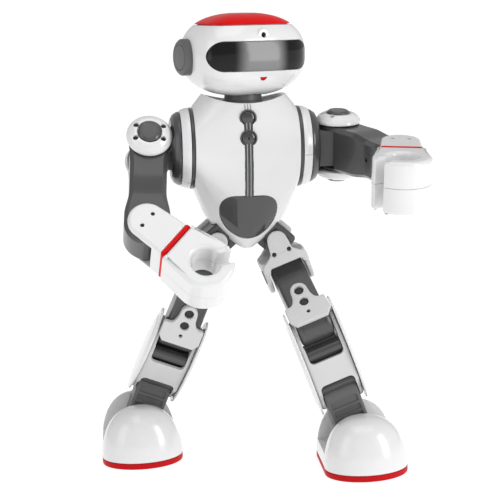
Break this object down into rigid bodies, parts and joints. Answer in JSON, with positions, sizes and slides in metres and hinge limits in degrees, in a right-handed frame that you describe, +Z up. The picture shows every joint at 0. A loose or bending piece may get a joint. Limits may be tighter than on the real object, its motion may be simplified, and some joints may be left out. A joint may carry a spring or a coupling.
{
  "type": "humanoid robot toy",
  "caption": "Small walking humanoid robot toy with a wide head and dark visor, egg-shaped torso, jointed arms with hook hands and jointed legs on domed feet.",
  "frame": {"origin": "on the floor, at the middle of the overall box of the walking pose", "axes": "+Z up, the robot faces -Y, its own left is +X"},
  "size_m": [0.2254, 0.2006, 0.3155],
  "materials": {
    "white_gloss": "moulded, glossy",
    "dark_satin": "moulded, satin",
    "grey_satin": "moulded, satin",
    "visor_gloss": "polished, near black",
    "red_gloss": "glossy red",
    "belly_gloss": "polished dark grey",
    "servo_case": "matt black",
    "board": "green solder mask",
    "cell_wrap": "blue shrink wrap",
    "sole_rubber": "red, satin"
  },
  "bodies": {
    "torso": {"torso_front_shell": "white_gloss", "torso_rear_shell": "white_gloss", "battery_cover": "white_gloss", "belly_panel": "belly_gloss", "zip_strip": "belly_gloss", "pelvis_frame": "dark_satin", "neck_collar": "grey_satin", "head_servo": "servo_case", "battery_pack": "cell_wrap", "main_board": "board", "left_shoulder_servo": "servo_case", "right_shoulder_servo": "servo_case"},
    "power_button": {"power_button": "belly_gloss"},
    "mode_button": {"mode_button": "belly_gloss"},
    "head": {"head_shell": "white_gloss", "visor": "visor_gloss", "head_cap": "red_gloss", "smile": "red_gloss", "camera_lens": "visor_gloss", "left_ear": "grey_satin", "right_ear": "grey_satin"},
    "left_shoulder": {"left_shoulder_seal": "dark_satin", "left_shoulder_collar": "white_gloss", "left_shoulder_fork": "dark_satin"},
    "left_upper_arm": {"left_upper_arm": "dark_satin", "left_cap_front": "white_gloss", "left_cap_rear": "white_gloss"},
    "left_forearm": {"left_forearm": "white_gloss", "left_wrist_band": "red_gloss", "left_hand": "white_gloss"},
    "left_hip": {"left_hip_yoke": "white_gloss"},
    "left_thigh": {"left_thigh": "dark_satin", "left_thigh_cover": "white_gloss"},
    "left_shin": {"left_shin_frame": "white_gloss", "left_shin_servo": "servo_case", "left_shin_panel_inner": "white_gloss", "left_shin_panel_outer": "white_gloss"},
    "left_ankle": {"left_ankle": "grey_satin"},
    "left_foot": {"left_foot_shell": "white_gloss", "left_sole": "sole_rubber"},
    "right_shoulder": {"right_shoulder_seal": "dark_satin", "right_shoulder_collar": "white_gloss", "right_shoulder_fork": "dark_satin"},
    "right_upper_arm": {"right_upper_arm": "dark_satin", "right_cap_front": "white_gloss", "right_cap_rear": "white_gloss"},
    "right_forearm": {"right_forearm": "white_gloss", "right_wrist_band": "red_gloss", "right_hand": "white_gloss"},
    "right_hip": {"right_hip_yoke": "white_gloss"},
    "right_thigh": {"right_thigh": "dark_satin", "right_thigh_cover": "white_gloss"},
    "right_shin": {"right_shin_frame": "white_gloss", "right_shin_servo": "servo_case", "right_shin_panel_inner": "white_gloss", "right_shin_panel_outer": "white_gloss"},
    "right_ankle": {"right_ankle": "grey_satin"},
    "right_foot": {"right_foot_shell": "white_gloss", "right_sole": "sole_rubber"}
  },
  "joints": [
    {"name": "head_yaw", "type": "hinge", "parent": "torso", "child": "head", "pos_m": [0.00103, 0.02457, 0.28706], "axis": [0.0366, 0, 0.9993], "range_deg": [-75, 45]},
    {"name": "power_button_slide", "type": "slide", "parent": "torso", "child": "power_button", "axis": [0, 1, 0], "range_m": [0, 0.0012], "stiffness_N_per_m": 400},
    {"name": "mode_button_slide", "type": "slide", "parent": "torso", "child": "mode_button", "axis": [0, 1, 0], "range_m": [0, 0.0012], "stiffness_N_per_m": 400},
    {"name": "left_shoulder_pitch", "type": "hinge", "parent": "torso", "child": "left_shoulder", "pos_m": [-0.00132, 0.02457, 0.2229], "axis": [0.9993, 0, -0.0366], "range_deg": [-60, 90]},
    {"name": "left_shoulder_roll", "type": "hinge", "parent": "left_shoulder", "child": "left_upper_arm", "pos_m": [0.06504, 0.02457, 0.22047], "axis": [-0.0363, 0.1357, -0.9901], "range_deg": [-60, 30]},
    {"name": "left_elbow", "type": "hinge", "parent": "left_upper_arm", "child": "left_forearm", "pos_m": [0.09674, -0.03148, 0.21162], "axis": [0.0363, -0.1357, 0.9901], "range_deg": [-48, 60]},
    {"name": "left_hip_roll", "type": "hinge", "parent": "torso", "child": "left_hip", "pos_m": [0.01711, 0.02457, 0.15778], "axis": [0, 1, 0], "range_deg": [-15, 20]},
    {"name": "left_hip_pitch", "type": "hinge", "parent": "left_hip", "child": "left_thigh", "pos_m": [0.02505, 0.02457, 0.13471], "axis": [0.9455, 0, 0.3256], "range_deg": [-30, 60]},
    {"name": "left_knee", "type": "hinge", "parent": "left_thigh", "child": "left_shin", "pos_m": [0.03695, -0.00999, 0.10016], "axis": [0.9455, 0, 0.3256], "range_deg": [-45, 40]},
    {"name": "left_ankle_pitch", "type": "hinge", "parent": "left_shin", "child": "left_ankle", "pos_m": [0.05388, -0.00703, 0.05097], "axis": [0.9455, 0, 0.3256], "range_deg": [-30, 30]},
    {"name": "left_ankle_roll", "type": "hinge", "parent": "left_ankle", "child": "left_foot", "pos_m": [0.063, -0.00703, 0.0245], "axis": [0, 1, 0], "range_deg": [-25, 15]},
    {"name": "right_shoulder_pitch", "type": "hinge", "parent": "torso", "child": "right_shoulder", "pos_m": [-0.00132, 0.02457, 0.2229], "axis": [0.9993, 0, -0.0366], "range_deg": [-90, 8]},
    {"name": "right_shoulder_roll", "type": "hinge", "parent": "right_shoulder", "child": "right_upper_arm", "pos_m": [-0.06767, 0.02457, 0.22533], "axis": [-0.0223, 0.7934, -0.6084], "range_deg": [-2, 80]},
    {"name": "right_elbow", "type": "hinge", "parent": "right_upper_arm", "child": "right_forearm", "pos_m": [-0.07454, -0.01488, 0.17413], "axis": [0.0223, -0.7934, 0.6084], "range_deg": [-60, 28]},
    {"name": "right_hip_roll", "type": "hinge", "parent": "torso", "child": "right_hip", "pos_m": [-0.02447, 0.02457, 0.15931], "axis": [0, 1, 0], "range_deg": [-20, 15]},
    {"name": "right_hip_pitch", "type": "hinge", "parent": "right_hip", "child": "right_thigh", "pos_m": [-0.03396, 0.02457, 0.13683], "axis": [0.9212, 0, -0.3891], "range_deg": [-70, 15]},
    {"name": "right_knee", "type": "hinge", "parent": "right_thigh", "child": "right_shin", "pos_m": [-0.0529, 0.03729, 0.092], "axis": [0.9212, 0, -0.3891], "range_deg": [-15, 70]},
    {"name": "right_ankle_pitch", "type": "hinge", "parent": "right_shin", "child": "right_ankle", "pos_m": [-0.07051, 0.06307, 0.05029], "axis": [0.9212, 0, -0.3891], "range_deg": [-20, 40]},
    {"name": "right_ankle_roll", "type": "hinge", "parent": "right_ankle", "child": "right_foot", "pos_m": [-0.08141, 0.06307, 0.0245], "axis": [0, 1, 0], "range_deg": [-15, 25]}
  ]
}
